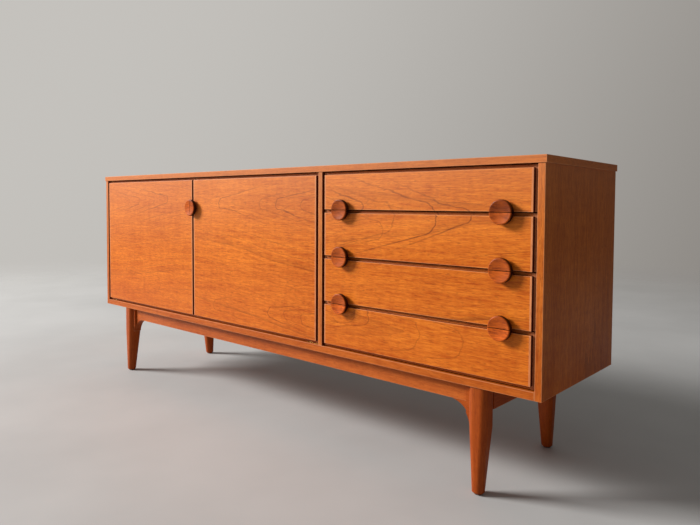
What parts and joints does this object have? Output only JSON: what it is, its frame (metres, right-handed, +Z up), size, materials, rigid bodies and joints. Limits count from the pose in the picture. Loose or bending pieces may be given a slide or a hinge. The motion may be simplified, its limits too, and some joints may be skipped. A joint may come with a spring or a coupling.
{
  "type": "sideboard with doors and drawers",
  "caption": "Long low wooden sideboard on tapered legs: a cupboard with paired doors beside a bank of drawers, all with split disc handles.",
  "frame": {"origin": "middle of the bounding box on the floor, handles included", "axes": "+X along the front to the right, +Y from the front to the back, +Z up"},
  "size_m": [1.83, 0.413, 0.735],
  "materials": {
    "teak_panel": "oiled veneer with a fine straight grain",
    "teak_front": "oiled veneer with a flowing crown grain",
    "teak_solid": "oiled solid wood",
    "teak_handle": "turned, oiled solid wood",
    "drawer_lining": "plain pale hardwood, waxed",
    "hardboard": "smooth board",
    "brass": "satin",
    "steel": "zinc plated",
    "dark_plastic": "matte"
  },
  "bodies": {
    "root": {"top_panel": "teak_panel", "left_side": "teak_panel", "right_side": "teak_panel", "bottom_panel": "teak_panel", "divider": "teak_panel", "back_panel": "hardboard", "shelf": "teak_panel", "shelf_pins": "brass", "left_runners": "drawer_lining", "right_runners": "drawer_lining", "front_left_leg": "teak_solid", "front_right_leg": "teak_solid", "rear_left_leg": "teak_solid", "rear_right_leg": "teak_solid", "front_left_knee": "teak_solid", "front_right_knee": "teak_solid", "front_rail": "teak_solid", "rear_rail": "teak_solid", "left_rail": "teak_solid", "right_rail": "teak_solid", "screw_blocks": "drawer_lining", "frame_screws": "steel", "foot_glides": "dark_plastic", "pivot_plates": "brass", "door_catches": "dark_plastic"},
    "left_door": {"left_door_panel": "teak_front", "left_door_handle": "teak_handle", "left_door_pivots": "brass", "left_door_strike": "steel"},
    "right_door": {"right_door_panel": "teak_front", "right_door_handle": "teak_handle", "right_door_pivots": "brass", "right_door_strike": "steel"},
    "drawer_1": {"drawer_1_front": "teak_front", "drawer_1_left_side": "drawer_lining", "drawer_1_right_side": "drawer_lining", "drawer_1_back": "drawer_lining", "drawer_1_bottom": "hardboard", "drawer_1_handles": "teak_handle"},
    "drawer_2": {"drawer_2_front": "teak_front", "drawer_2_left_side": "drawer_lining", "drawer_2_right_side": "drawer_lining", "drawer_2_back": "drawer_lining", "drawer_2_bottom": "hardboard", "drawer_2_handles": "teak_handle"},
    "drawer_3": {"drawer_3_front": "teak_front", "drawer_3_left_side": "drawer_lining", "drawer_3_right_side": "drawer_lining", "drawer_3_back": "drawer_lining", "drawer_3_bottom": "hardboard", "drawer_3_handles": "teak_handle"},
    "drawer_4": {"drawer_4_front": "teak_front", "drawer_4_left_side": "drawer_lining", "drawer_4_right_side": "drawer_lining", "drawer_4_back": "drawer_lining", "drawer_4_bottom": "hardboard", "drawer_4_handles": "teak_handle"}
  },
  "joints": [
    {"name": "left_door_hinge", "type": "hinge", "parent": "root", "child": "left_door", "pos_m": [-0.881, -0.1765, 0.257], "axis": [0, 0, -1], "range_deg": [0, 90]},
    {"name": "right_door_hinge", "type": "hinge", "parent": "root", "child": "right_door", "pos_m": [0.258, -0.1765, 0.257], "axis": [0, 0, 1], "range_deg": [0, 90]},
    {"name": "drawer_1_slide", "type": "slide", "parent": "root", "child": "drawer_1", "axis": [0, -1, 0], "range_m": [0, 0.28]},
    {"name": "drawer_2_slide", "type": "slide", "parent": "root", "child": "drawer_2", "axis": [0, -1, 0], "range_m": [0, 0.28]},
    {"name": "drawer_3_slide", "type": "slide", "parent": "root", "child": "drawer_3", "axis": [0, -1, 0], "range_m": [0, 0.28]},
    {"name": "drawer_4_slide", "type": "slide", "parent": "root", "child": "drawer_4", "axis": [0, -1, 0], "range_m": [0, 0.28]}
  ]
}
